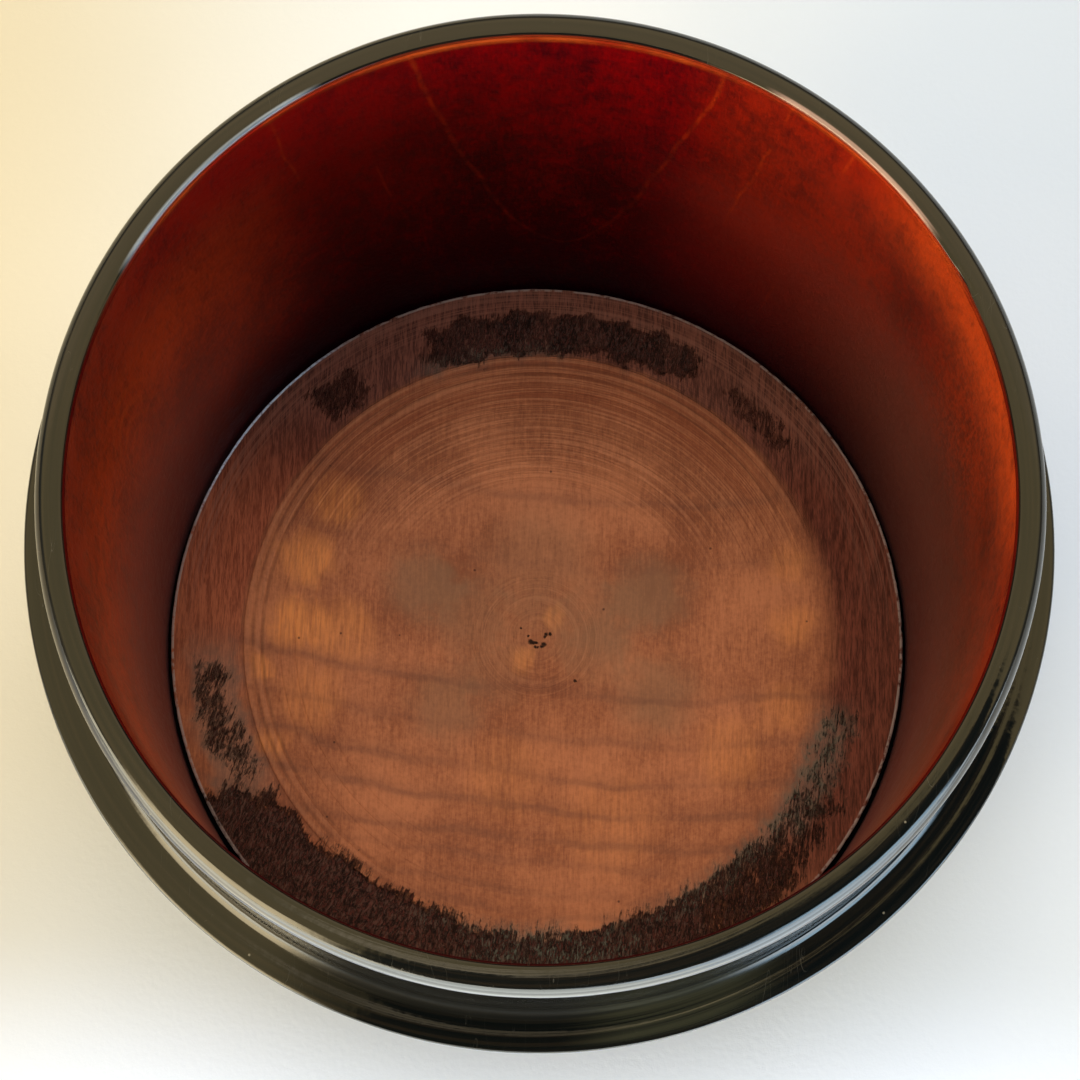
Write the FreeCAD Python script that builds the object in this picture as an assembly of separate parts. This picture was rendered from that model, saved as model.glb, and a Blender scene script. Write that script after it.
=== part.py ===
import FreeCAD, Part
import math
import os

# Shaving mug: a turned, lacquered wooden cup with a neck and shoulder for a slip-on lid, a thin
# veneer lining on the bore wall, a flat turned floor disc and a felt pad under the base.
# Millimetres. Origin at the centre of the underside of the felt pad, +Z up along the turning axis.

# Driving dimensions
BORE_RADIUS = 39.8             # inside of the veneer, takes a soap puck of up to about 78 mm
RIM_OUTER_RADIUS = 42.5        # outside of the rim and neck
SHOULDER_RADIUS = 46.2         # widest point, the outer corner of the lid shoulder
OVERALL_HEIGHT = 78.0
FLOOR_DEPTH = 68.3             # rim top down to the top of the floor disc

# Rim and neck
VENEER_THICKNESS = 0.6
RIM_LIP_RADIUS = 40.0          # inner edge of the rim, which covers most of the top of the veneer
RIM_LIP_DEPTH = 0.45           # the veneer stops this far below the rim top
RIM_INNER_ROUND = 0.3
RIM_OUTER_ROUND = 1.5
SEAM_GAP = 0.15                # butt joint where the two ends of the veneer strip meet

# Shoulder that the lid rests on
SHOULDER_DROP = 17.1           # rim top down to the flat of the shoulder
COVE_RADIUS = 1.8              # hollow between neck and shoulder
ROLL_RADIUS = 2.4              # the flat rolls over gently before the outer corner
ROLL_END = 60                  # degrees; the roll stops here and the tight corner takes over
CORNER_ROUND = 0.4

# Body below the shoulder
BODY_MID = (44.1, 31.0)        # (radius, height) on the gently bellied side
FOOT_RADIUS = 37.4             # outer edge of the flat foot ring
FOOT_ROUND = 4.0
FOOT_ROUND_END = -7            # degrees; the foot's round meets the leaning side here
FOOT_LIFT = 0.5                # the felt stands this far below the foot ring

# Base and felt pad
PAD_RADIUS = 34.0
PAD_THICKNESS = 1.5
PAD_EDGE_ROUND = 0.3

# Floor disc
DISC_GAP = 0.5                 # open gap between the disc's edge and the veneer
DISC_THICKNESS = 3.5
DISC_ARRIS = 0.25              # worn corner round the top of the disc
STEP_RADIUS = 31.4             # shallow turned step, the outer ring lies lower
STEP_DEPTH = 0.15
GROOVE_RADII = (24.2, 26.0, 27.6, 29.7)
GROOVE_HALF_WIDTH = 0.15
GROOVE_DEPTH = 0.12
CENTRE_DIMPLE_RADIUS = 0.7
CENTRE_DIMPLE_DEPTH = 0.35

# Derived sizes
DISC_TOP = OVERALL_HEIGHT - FLOOR_DEPTH
DISC_BOTTOM = DISC_TOP - DISC_THICKNESS
DISC_RADIUS = BORE_RADIUS - DISC_GAP
CUP_BORE_RADIUS = BORE_RADIUS + VENEER_THICKNESS
VENEER_TOP = OVERALL_HEIGHT - RIM_LIP_DEPTH
SHOULDER_TOP = OVERALL_HEIGHT - SHOULDER_DROP


def point(radius, height):
    """Point on the turning profile, in the XZ half-plane."""
    return FreeCAD.Vector(radius, 0, height)


def on_circle(centre, radius, degrees):
    """Profile point on a circle round centre; 0 degrees points outward and 90 degrees up."""
    angle = math.radians(degrees)
    return point(centre[0] + radius * math.cos(angle), centre[1] + radius * math.sin(angle))


class Profile:
    """A turning profile drawn corner to corner, then closed and revolved about the Z axis."""

    def __init__(self, radius, height):
        self.start = point(radius, height)
        self.here = self.start
        self.edges = []

    def line_to(self, radius, height):
        end = point(radius, height)
        self.edges.append(Part.makeLine(self.here, end))
        self.here = end

    def round_to(self, middle, end):
        """Circular arc from the present point through middle to end."""
        self.edges.append(Part.Arc(self.here, middle, end).toShape())
        self.here = end

    def turned(self):
        if self.here.distanceToPoint(self.start) > 1e-6:
            self.edges.append(Part.makeLine(self.here, self.start))
        face = Part.Face(Part.Wire(self.edges))
        return face.revolve(point(0, 0), FreeCAD.Vector(0, 0, 1), 360)


def draw_outside(profile):
    """Foot, bellied side, shoulder, cove, neck and the outside of the rim, from the bottom up."""
    foot_centre = (FOOT_RADIUS, FOOT_LIFT + FOOT_ROUND)
    profile.line_to(FOOT_RADIUS, FOOT_LIFT)
    profile.round_to(
        on_circle(foot_centre, FOOT_ROUND, -45), on_circle(foot_centre, FOOT_ROUND, FOOT_ROUND_END)
    )

    corner_inset = (ROLL_RADIUS - CORNER_ROUND) * math.cos(math.radians(ROLL_END))
    roll_centre = (SHOULDER_RADIUS - CORNER_ROUND - corner_inset, SHOULDER_TOP - ROLL_RADIUS)
    corner = on_circle(roll_centre, ROLL_RADIUS - CORNER_ROUND, ROLL_END)
    corner_centre = (corner.x, corner.z)
    profile.round_to(point(*BODY_MID), on_circle(corner_centre, CORNER_ROUND, 0))
    profile.round_to(
        on_circle(corner_centre, CORNER_ROUND, ROLL_END / 2), on_circle(corner_centre, CORNER_ROUND, ROLL_END)
    )
    profile.round_to(
        on_circle(roll_centre, ROLL_RADIUS, (ROLL_END + 90) / 2), on_circle(roll_centre, ROLL_RADIUS, 90)
    )

    cove_centre = (RIM_OUTER_RADIUS + COVE_RADIUS, SHOULDER_TOP + COVE_RADIUS)
    profile.line_to(cove_centre[0], SHOULDER_TOP)
    profile.round_to(on_circle(cove_centre, COVE_RADIUS, 225), on_circle(cove_centre, COVE_RADIUS, 180))

    rim_centre = (RIM_OUTER_RADIUS - RIM_OUTER_ROUND, OVERALL_HEIGHT - RIM_OUTER_ROUND)
    profile.line_to(RIM_OUTER_RADIUS, rim_centre[1])
    profile.round_to(on_circle(rim_centre, RIM_OUTER_ROUND, 45), on_circle(rim_centre, RIM_OUTER_ROUND, 90))


def draw_inside(profile):
    """Inner edge of the rim, the rebate for the veneer and the bottom of the bore, from the top down."""
    lip_centre = (RIM_LIP_RADIUS + RIM_INNER_ROUND, OVERALL_HEIGHT - RIM_INNER_ROUND)
    profile.line_to(lip_centre[0], OVERALL_HEIGHT)
    profile.round_to(on_circle(lip_centre, RIM_INNER_ROUND, 135), on_circle(lip_centre, RIM_INNER_ROUND, 180))
    profile.line_to(RIM_LIP_RADIUS, VENEER_TOP)
    profile.line_to(CUP_BORE_RADIUS, VENEER_TOP)
    profile.line_to(CUP_BORE_RADIUS, DISC_BOTTOM)
    profile.line_to(0, DISC_BOTTOM)


def make_outer_cup():
    """Turned cup, solid at the bottom, with a shallow recess in the foot for the felt."""
    profile = Profile(0, PAD_THICKNESS)
    profile.line_to(PAD_RADIUS, PAD_THICKNESS)
    profile.line_to(PAD_RADIUS, FOOT_LIFT)
    draw_outside(profile)
    draw_inside(profile)
    return profile.turned()


def make_wall_liner():
    """Veneer strip bent round the bore wall, its top edge eased and its ends meeting at the front."""
    ease = VENEER_THICKNESS / 2
    ease_centre = (BORE_RADIUS + ease, VENEER_TOP - ease)
    profile = Profile(BORE_RADIUS, DISC_BOTTOM)
    profile.line_to(CUP_BORE_RADIUS, DISC_BOTTOM)
    profile.line_to(CUP_BORE_RADIUS, VENEER_TOP)
    profile.line_to(ease_centre[0], VENEER_TOP)
    profile.round_to(on_circle(ease_centre, ease, 135), on_circle(ease_centre, ease, 180))
    seam_corner = FreeCAD.Vector(-SEAM_GAP / 2, -CUP_BORE_RADIUS - VENEER_THICKNESS, 0)
    seam = Part.makeBox(SEAM_GAP, CUP_BORE_RADIUS, OVERALL_HEIGHT, seam_corner)
    return profile.turned().cut(seam)


def draw_groove(profile, radius, height):
    """V-shaped turned groove, drawn inward across the top of the disc."""
    profile.line_to(radius + GROOVE_HALF_WIDTH, height)
    profile.line_to(radius, height - GROOVE_DEPTH)
    profile.line_to(radius - GROOVE_HALF_WIDTH, height)


def make_floor_disc():
    """Flat disc on the bottom of the bore: lower outer ring, turned grooves and a centre dimple."""
    ring_top = DISC_TOP - STEP_DEPTH
    arris_centre = (DISC_RADIUS - DISC_ARRIS, ring_top - DISC_ARRIS)
    profile = Profile(0, DISC_BOTTOM)
    profile.line_to(DISC_RADIUS, DISC_BOTTOM)
    profile.line_to(DISC_RADIUS, arris_centre[1])
    profile.round_to(on_circle(arris_centre, DISC_ARRIS, 45), on_circle(arris_centre, DISC_ARRIS, 90))
    profile.line_to(STEP_RADIUS + STEP_DEPTH, ring_top)
    profile.line_to(STEP_RADIUS, DISC_TOP)
    for radius in reversed(GROOVE_RADII):
        draw_groove(profile, radius, DISC_TOP)
    profile.line_to(CENTRE_DIMPLE_RADIUS, DISC_TOP)
    profile.line_to(0, DISC_TOP - CENTRE_DIMPLE_DEPTH)
    return profile.turned()


def make_base_pad():
    """Felt disc glued into the foot recess, standing slightly proud of the foot ring."""
    edge_centre = (PAD_RADIUS - PAD_EDGE_ROUND, PAD_EDGE_ROUND)
    profile = Profile(0, 0)
    profile.line_to(edge_centre[0], 0)
    profile.round_to(on_circle(edge_centre, PAD_EDGE_ROUND, 315), on_circle(edge_centre, PAD_EDGE_ROUND, 0))
    profile.line_to(PAD_RADIUS, PAD_THICKNESS)
    profile.line_to(0, PAD_THICKNESS)
    return profile.turned()


def main():
    os.makedirs("parts", exist_ok=True)
    pieces = {
        "outer_cup": make_outer_cup(),
        "wall_liner": make_wall_liner(),
        "floor_disc": make_floor_disc(),
        "base_pad": make_base_pad(),
    }
    for name, shape in pieces.items():
        shape.exportStep(f"parts/{name}.step")
        box = shape.BoundBox
        print(name, shape.isValid(), round(shape.Volume, 1), round(box.ZMin, 3), round(box.ZMax, 3))


main()
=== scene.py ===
import math

import bpy
from mathutils import Matrix, Vector, noise


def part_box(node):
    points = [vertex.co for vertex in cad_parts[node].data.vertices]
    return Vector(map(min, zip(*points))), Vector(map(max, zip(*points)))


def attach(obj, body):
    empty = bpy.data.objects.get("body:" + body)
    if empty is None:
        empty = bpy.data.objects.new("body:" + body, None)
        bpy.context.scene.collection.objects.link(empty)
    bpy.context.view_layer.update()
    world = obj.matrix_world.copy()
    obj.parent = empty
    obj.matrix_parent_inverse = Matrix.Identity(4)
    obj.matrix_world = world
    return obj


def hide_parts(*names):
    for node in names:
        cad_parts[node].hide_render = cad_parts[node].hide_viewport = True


# Looks for the shaving mug: lacquered cup, veneer lining, turned floor disc and felt pad.
# Metres, in the same frame as the CAD: +Z up the turning axis and -Y towards the viewer.
# Material coordinates are in millimetres.

MM = 0.001
SEGMENTS = 480                     # round the turning axis
BODY = "root"

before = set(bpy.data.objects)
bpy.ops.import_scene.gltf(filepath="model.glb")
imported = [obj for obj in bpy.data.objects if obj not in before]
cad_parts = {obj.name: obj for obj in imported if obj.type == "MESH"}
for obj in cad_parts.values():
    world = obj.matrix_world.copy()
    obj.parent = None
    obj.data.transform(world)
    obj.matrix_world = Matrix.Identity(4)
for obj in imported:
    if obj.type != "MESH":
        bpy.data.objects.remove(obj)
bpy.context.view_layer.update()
cup_low, cup_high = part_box("outer_cup")
liner_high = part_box("wall_liner")[1]
disc_low, disc_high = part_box("floor_disc")
pad_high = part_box("base_pad")[1]

RIM_TOP = cup_high[2]
SHOULDER_R = cup_high[0]
BORE_BOTTOM = disc_low[2]
DISC_TOP = disc_high[2]
DISC_R = disc_high[0]
LINER_OUTER_R = liner_high[0]
LINER_TOP = liner_high[2]
PAD_R = pad_high[0]
PAD_TOP = pad_high[2]
FOOT_LIFT = cup_low[2]

# Sizes inside those boxes; a few are for wear that the CAD leaves out
NECK_R = 42.5 * MM
BORE_R = 39.8 * MM
LIP_R = 40.0 * MM
LIP_ROUND = 0.3 * MM
RIM_ROUND = 1.5 * MM
WEAR_DROP = 0.7 * MM               # the rim's outer edge is worn rounder at the front, down the neck
WEAR_REACH = 6.0 * MM
SHOULDER_TOP = RIM_TOP - 17.1 * MM
COVE_R = 1.8 * MM
ROLL_R = 2.4 * MM
CORNER_R = 0.4 * MM
ROLL_END = 60
CROWN_R = 40.65 * MM               # the rim's top is worn very slightly round
CROWN_HALF = 0.35 * MM
CROWN_DROP = 0.004 * MM
BODY_MID = (44.1 * MM, 31.0 * MM)
FOOT_R = 37.4 * MM
FOOT_ROUND = 4.0 * MM
FOOT_END = -7
STEP_R = 31.4 * MM
STEP_DEPTH = 0.15 * MM
ARRIS = 0.25 * MM
GROOVES = (24.2 * MM, 26.0 * MM, 27.6 * MM, 29.7 * MM)
GROOVE_HALF = 0.15 * MM
GROOVE_DEPTH = 0.12 * MM
DIMPLE_R = 0.7 * MM
DIMPLE_DEPTH = 0.35 * MM
JOINT_HALF = 0.075 * MM            # half the open joint between the two ends of the veneer
BRUISE_BEARING = 28                # degrees; a small bruise on the inner edge of the rim
BRUISE_HALF = 1.1 * MM

# The same places in millimetres, for the materials
RIM_MM = RIM_TOP / MM
SHOULDER_MM = SHOULDER_TOP / MM
NECK_MM = NECK_R / MM
LIP_MM = LIP_R / MM
LINER_MM = LINER_TOP / MM
DISC_MM = DISC_R / MM
DEGREES = math.degrees(1)
BLACK = (0.0, 0.0, 0.0)


# ---------------------------------------------------------------- camera

def make_camera():
    """Close above the mug, tipped forward from straight down, as a long-lens close-up is taken."""
    elevation = math.radians(77.08)
    roll = math.radians(1.48)
    distance = 235.2 * MM
    aim_right = 0.07 * MM
    aim_down = -4.48 * MM
    rim_centre = Vector((0, 0, RIM_TOP - RIM_ROUND))

    forward = Vector((0, math.cos(elevation), -math.sin(elevation)))
    level_right = Vector((1, 0, 0))
    level_down = forward.cross(level_right)
    right = math.cos(roll) * level_right - math.sin(roll) * level_down
    down = math.sin(roll) * level_right + math.cos(roll) * level_down

    data = bpy.data.cameras.new("camera")
    data.sensor_width = 36
    data.lens = 93.33
    data.clip_start = 0.01
    data.clip_end = 10
    camera = bpy.data.objects.new("camera", data)
    bpy.context.scene.collection.objects.link(camera)
    turn = Matrix((right, -down, -forward)).transposed().to_4x4()
    place = rim_centre - aim_right * right - aim_down * down - distance * forward
    camera.matrix_world = Matrix.Translation(place) @ turn
    bpy.context.scene.camera = camera


# ---------------------------------------------------------------- mesh helpers

def arc(centre, radius, start, end, steps):
    """Profile points on a circle, in degrees, the first point left out."""
    points = []
    for step in range(1, steps + 1):
        angle = math.radians(start + (end - start) * step / steps)
        points.append((centre[0] + radius * math.cos(angle), centre[1] + radius * math.sin(angle)))
    return points


def run(start, end, steps):
    """Profile points on a straight run, the first point left out."""
    return [
        (start[0] + (end[0] - start[0]) * k / steps, start[1] + (end[1] - start[1]) * k / steps)
        for k in range(1, steps + 1)
    ]


def through(start, middle, end, steps):
    """Profile points on the circle through three points, the first point left out."""
    ax, ay = start
    bx, by = middle
    cx, cy = end
    d = 2 * (ax * (by - cy) + bx * (cy - ay) + cx * (ay - by))
    a2, b2, c2 = ax * ax + ay * ay, bx * bx + by * by, cx * cx + cy * cy
    ux = (a2 * (by - cy) + b2 * (cy - ay) + c2 * (ay - by)) / d
    uy = (a2 * (cx - bx) + b2 * (ax - cx) + c2 * (bx - ax)) / d
    radius = math.hypot(ax - ux, ay - uy)
    first = math.degrees(math.atan2(ay - uy, ax - ux))
    last = math.degrees(math.atan2(cy - uy, cx - ux))
    return arc((ux, uy), radius, first, last, steps)


def smooth(value, low, high):
    """0 below low, 1 above high, and a smooth ramp between."""
    t = min(max((value - low) / (high - low), 0), 1)
    return t * t * (3 - 2 * t)


def turned(name, profile, shape, segments=SEGMENTS, start=0.0, sweep=360.0):
    """Mesh of a closed profile swept round the Z axis. shape(r, z, angle) gives each point its place."""
    whole = sweep >= 360
    columns = segments if whole else segments + 1
    vertices, rings = [], []
    for r, z in profile:
        if r < 1e-7:
            rings.append([len(vertices)] * columns)
            vertices.append(shape(0, z, 0))
            continue
        ring = []
        for k in range(columns):
            angle = math.radians(start + sweep * k / segments)
            ring.append(len(vertices))
            vertices.append(shape(r, z, angle))
        rings.append(ring)
    faces = []
    for low, high in zip(rings, rings[1:] + rings[:1]):
        for k in range(segments):
            n = (k + 1) % columns
            corners = list(dict.fromkeys((low[k], low[n], high[n], high[k])))
            if len(corners) > 2:
                faces.append(corners)
    if not whole:
        faces.append([ring[0] for ring in rings])
        faces.append([ring[-1] for ring in reversed(rings)])
    mesh = bpy.data.meshes.new(name)
    mesh.from_pydata(vertices, [], faces)
    mesh.validate()
    for polygon in mesh.polygons:
        polygon.use_smooth = True
    piece = bpy.data.objects.new(name, mesh)
    bpy.context.scene.collection.objects.link(piece)
    return piece


def round_place(r, z, angle):
    """Point at a radius, height and angle round the turning axis."""
    return (r * math.cos(angle), r * math.sin(angle), z)


# ---------------------------------------------------------------- shader helpers

class Shader:
    """Short names for the nodes that the materials are made of."""

    def __init__(self, name):
        self.material = bpy.data.materials.new(name)
        self.material.use_nodes = True
        self.tree = self.material.node_tree
        self.tree.nodes.clear()
        self.surface = self.node("ShaderNodeBsdfPrincipled")
        output = self.node("ShaderNodeOutputMaterial")
        self.tree.links.new(self.surface.outputs[0], output.inputs[0])
        place = self.node("ShaderNodeTexCoord").outputs["Object"]
        self.mm = self.vector("MULTIPLY", place, (1000, 1000, 1000))
        split = self.node("ShaderNodeSeparateXYZ")
        self.feed(split.inputs[0], self.mm)
        self.x, self.y, self.z = split.outputs

    def node(self, kind):
        return self.tree.nodes.new(kind)

    def feed(self, socket, value):
        """Link a socket to a socket, or set its constant."""
        if isinstance(value, bpy.types.NodeSocket):
            self.tree.links.new(value, socket)
        else:
            socket.default_value = value

    def set(self, **sockets):
        """Feed inputs of the surface shader, named with underscores for spaces."""
        for name, value in sockets.items():
            self.feed(self.surface.inputs[name.replace("_", " ")], value)

    def vector(self, operation, a, b):
        node = self.node("ShaderNodeVectorMath")
        node.operation = operation
        self.feed(node.inputs[0], a)
        self.feed(node.inputs[1], b)
        return node.outputs["Value" if operation == "LENGTH" else "Vector"]

    def math(self, operation, a, b=0.0, c=0.0):
        node = self.node("ShaderNodeMath")
        node.operation = operation
        for socket, value in zip(node.inputs, (a, b, c)):
            self.feed(socket, value)
        return node.outputs[0]

    def add(self, a, b):
        return self.math("ADD", a, b)

    def sub(self, a, b):
        return self.math("SUBTRACT", a, b)

    def mul(self, a, b):
        return self.math("MULTIPLY", a, b)

    def stretch(self, sx, sy, sz):
        """Place in millimetres, multiplied along each axis."""
        return self.vector("MULTIPLY", self.mm, (sx, sy, sz))

    def join(self, x, y, z):
        node = self.node("ShaderNodeCombineXYZ")
        for socket, value in zip(node.inputs, (x, y, z)):
            self.feed(socket, value)
        return node.outputs[0]

    def noise(self, place, scale, detail=2.0, roughness=0.5, distortion=0.0):
        node = self.node("ShaderNodeTexNoise")
        self.feed(node.inputs["Vector"], place)
        node.inputs["Scale"].default_value = scale
        node.inputs["Detail"].default_value = detail
        node.inputs["Roughness"].default_value = roughness
        node.inputs["Distortion"].default_value = distortion
        return node.outputs[0]

    def cells(self, place, scale):
        """Distance to the nearest of many scattered points, and a random colour for that point."""
        node = self.node("ShaderNodeTexVoronoi")
        self.feed(node.inputs["Vector"], place)
        node.inputs["Scale"].default_value = scale
        node.inputs["Randomness"].default_value = 1.0
        return node.outputs["Distance"], node.outputs["Color"]

    def span(self, value, low, high, to_low=0.0, to_high=1.0):
        """Smooth ramp of value from low..high to to_low..to_high."""
        node = self.node("ShaderNodeMapRange")
        node.interpolation_type = "SMOOTHSTEP"
        for socket, given in zip(node.inputs, (value, low, high, to_low, to_high)):
            self.feed(socket, given)
        return node.outputs[0]

    def mix(self, factor, a, b):
        node = self.node("ShaderNodeMix")
        node.data_type = "RGBA"
        node.blend_type = "MIX"
        self.feed(node.inputs[0], factor)
        self.feed(node.inputs[6], a if isinstance(a, bpy.types.NodeSocket) else (*a, 1))
        self.feed(node.inputs[7], b if isinstance(b, bpy.types.NodeSocket) else (*b, 1))
        return node.outputs[2]

    def attribute(self, name):
        node = self.node("ShaderNodeAttribute")
        node.attribute_name = name
        return node.outputs["Fac"]

    def bump(self, height, distance, under=None):
        """Bump whose height is in millimetres times distance."""
        node = self.node("ShaderNodeBump")
        node.inputs["Strength"].default_value = 1.0
        node.inputs["Distance"].default_value = distance * MM
        self.feed(node.inputs["Height"], height)
        if under is not None:
            self.feed(node.inputs["Normal"], under)
        return node.outputs[0]

    def weigh(self, *terms):
        """Sum of values, each given with its weight."""
        total = self.mul(*terms[-1])
        for value, weight in reversed(terms[:-1]):
            total = self.add(self.mul(value, weight), total)
        return total

    def line(self, value, centre, half, soft):
        """1 within half of centre, falling to 0 over soft."""
        away = self.math("ABSOLUTE", self.sub(value, centre))
        return self.span(away, half, half + soft, 1.0, 0.0)


# ---------------------------------------------------------------- materials

def lacquer_material():
    """Thick black lacquer over turned wood: turning streaks, dust, hairline scratches."""
    s = Shader("black_lacquer")
    radius = s.vector("LENGTH", s.join(s.x, s.y, 0.0), (0, 0, 0))
    bearing = s.mul(s.math("ARCTAN2", s.y, s.x), DEGREES)
    around = s.vector("NORMALIZE", s.join(s.x, s.y, 0.0), (0, 0, 0))
    across = s.join(s.mul(radius, 3.0), 0.0, s.mul(s.z, 3.0))
    hoop = s.vector("ADD", s.vector("MULTIPLY", around, (2.2, 2.2, 0)), across)
    streak = s.noise(hoop, 1.0, 3.0, 0.6)
    cloud = s.noise(s.mm, 0.12, 3.0, 0.6)
    peel = s.noise(s.mm, 0.9, 2.0, 0.5)

    speck_far, speck_kind = s.cells(s.mm, 0.42)
    kind = s.node("ShaderNodeSeparateColor")
    s.feed(kind.inputs[0], speck_kind)
    chosen = s.math("GREATER_THAN", kind.outputs[0], 0.72)
    speck = s.mul(s.span(speck_far, 0.03, 0.06, 1.0, 0.0), chosen)

    scratch_noise = s.noise(s.stretch(0.9, 0.12, 0.3), 1.0, 1.0, 0.4, 0.6)
    scratch = s.mul(s.line(scratch_noise, 0.5, 0.0012, 0.0016), s.span(cloud, 0.5, 0.62))

    base = s.mix(s.span(streak, 0.35, 0.75), (0.0030, 0.0040, 0.0040), (0.0120, 0.0095, 0.0066))
    outside_neck = s.span(radius, NECK_MM, NECK_MM + 0.1)
    on_front = s.span(s.y, -30.0, -38.0)

    # Grime in the cove, dust on the flat and a duller shoulder, all at the front
    in_cove = s.mul(s.line(s.z, SHOULDER_MM + 1.1, 0.8, 0.25), outside_neck)
    grime = s.mul(in_cove, s.span(s.y, -36.0, -41.0))
    base = s.mix(s.mul(grime, 0.5), base, (0.012, 0.012, 0.011))
    on_flat = s.mul(s.span(s.z, SHOULDER_MM - 0.3, SHOULDER_MM - 0.1), outside_neck)
    to_the_right = s.mul(s.span(s.x, 2.0, 10.0), s.span(s.x, 24.0, 16.0))
    dusted = s.mul(on_flat, s.mul(on_front, to_the_right))
    base = s.mix(s.mul(dusted, s.span(streak, 0.30, 0.60, 0.2, 0.9)), base, (0.036, 0.037, 0.023))
    in_middle = s.mul(s.span(s.x, 14.0, 4.0), s.span(s.x, -26.0, -16.0))
    dull = s.mul(s.span(s.z, SHOULDER_MM + 0.6, SHOULDER_MM + 0.2), s.mul(on_front, in_middle))

    # The lip: painted highlights on both sides of the back, warm pink on the right and pale blue on the left,
    # and stained by the veneer below
    lip_highlight = s.mul(s.span(radius, LIP_MM + 0.45, LIP_MM + 0.25), s.span(s.z, RIM_MM - 1.4, RIM_MM - 0.6))
    lip_highlight = s.mul(lip_highlight, s.span(streak, 0.30, 0.55, 0.5, 0.95))
    base = s.mix(s.mul(lip_highlight, s.line(bearing, 48.0, 10.0, 5.0)), base, (0.420, 0.270, 0.225))
    base = s.mix(s.mul(lip_highlight, s.line(bearing, 137.0, 12.0, 6.0)), base, (0.260, 0.310, 0.380))
    bleed = s.mul(s.span(radius, LIP_MM + 0.20, LIP_MM + 0.05), s.span(s.z, RIM_MM - 2.0, RIM_MM - 1.5))
    bleed = s.mul(bleed, s.mul(s.span(s.y, 6.0, 24.0), s.span(s.z, RIM_MM - 0.05, RIM_MM - 0.25)))
    base = s.mix(s.mul(bleed, s.span(streak, 0.30, 0.60, 0.6, 1.0)), base, (0.300, 0.036, 0.012))

    base = s.mix(s.mul(speck, 0.7), base, (0.22, 0.20, 0.15))
    base = s.mix(s.mul(scratch, 0.25), base, (0.10, 0.095, 0.08))
    rough = s.add(s.span(cloud, 0.3, 0.7, 0.045, 0.095), s.add(s.mul(scratch, 0.2), s.mul(speck, 0.4)))
    rough = s.add(rough, s.mul(grime, 0.3))
    ripple = s.bump(streak, 0.012)
    skin = s.bump(peel, 0.010, under=ripple)
    shine = s.span(s.math("MAXIMUM", grime, s.mul(dull, 0.62)), 0.0, 1.0, 0.5, 0.04)
    s.set(Base_Color=base, Roughness=rough, Normal=skin, Specular_IOR_Level=shine, IOR=1.52)
    return s.material


# The same orange also colours the painted light on the upper right of the wall
VENEER_LINE = (0.50, 0.050, 0.008)   # bright orange of the growth-ring loops


def growth_loops(s, bearing, wobble):
    """Nested growth-ring loops on the back of the wall, open at the top; the outer ones are broken."""
    off_loop = s.math("ABSOLUTE", s.add(s.sub(bearing, 88.0), s.mul(wobble, 3.0)))
    reach = s.mul(off_loop, 1 / 20)
    rise = s.mul(s.sub(s.z, 24.0), 1 / 52)
    level = s.sub(rise, s.math("POWER", reach, 1.82))
    slope = s.mul(s.math("POWER", reach, 0.82), 0.1304)
    slope = s.math("SQRT", s.add(s.mul(slope, slope), 0.00037))
    inner = s.line(s.math("DIVIDE", level, slope), 0.0, 0.04, 0.34)
    outer = s.line(s.math("DIVIDE", s.add(level, 1.05), slope), 0.0, 0.03, 0.22)
    outmost = s.line(s.math("DIVIDE", s.add(level, 2.4), slope), 0.0, 0.03, 0.22)
    broken = s.span(s.noise(s.stretch(0.12, 0.12, 0.05), 1.0, 2.0), 0.42, 0.60)
    loops = s.add(s.mul(inner, 0.9), s.mul(broken, s.add(s.mul(outer, 1.2), s.mul(outmost, 1.0))))
    fade = s.mul(s.span(s.z, 18.0, 62.0, 0.50, 1.0), s.span(off_loop, 50.0, 70.0, 1.0, 0.0))
    return s.mul(loops, fade)


def flame_and_painted_light(s, wobble):
    """Small nested loops on the left of the wall, and a patch of painted light on the upper right."""
    left_run = s.mul(s.sub(s.y, s.add(11.0, s.mul(wobble, 5.0))), s.span(s.x, -30.0, -34.0))
    left_away = s.vector("LENGTH", s.join(left_run, s.mul(s.sub(s.z, 45.0), 0.33), 0.0), (0, 0, 0))
    left_away = s.add(left_away, s.span(s.x, -34.0, -30.0, 0.0, 20.0))
    ripple = s.math("SINE", s.mul(left_away, 5.2))
    left_flame = s.mul(s.span(ripple, -0.2, 1.0), s.span(left_away, 3.0, 7.5, 1.0, 0.0))
    right_offset = s.join(s.sub(s.y, 10.0), s.mul(s.sub(s.z, 60.0), 0.5), s.sub(s.x, 39.0))
    right_away = s.vector("LENGTH", right_offset, (0, 0, 0))
    return left_flame, s.span(right_away, 2.0, 12.0, 1.0, 0.0)


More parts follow.
